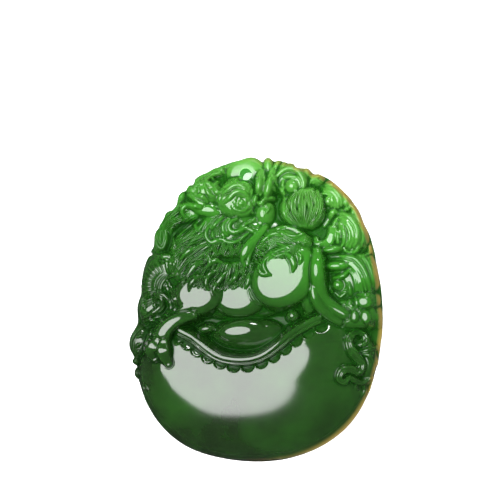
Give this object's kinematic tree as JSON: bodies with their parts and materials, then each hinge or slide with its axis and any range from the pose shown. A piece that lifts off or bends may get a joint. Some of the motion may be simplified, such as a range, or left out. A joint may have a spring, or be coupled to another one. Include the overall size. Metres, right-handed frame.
{
  "type": "chinese jade pendant",
  "caption": "Oval green jade pendant with a flat back and a domed money bag, beast and clouds carved in high relief, drilled through at the top for a cord.",
  "frame": {"origin": "on the flat back, in the middle of the oval", "axes": "+Z out of the carved face, +Y towards the cord hole, +X to the right of the carved face as it is looked at"},
  "size_m": [0.051, 0.0612, 0.0132],
  "materials": {
    "jade": "polished"
  },
  "bodies": {
    "root": {"jade_carving": "jade"}
  },
  "joints": []
}
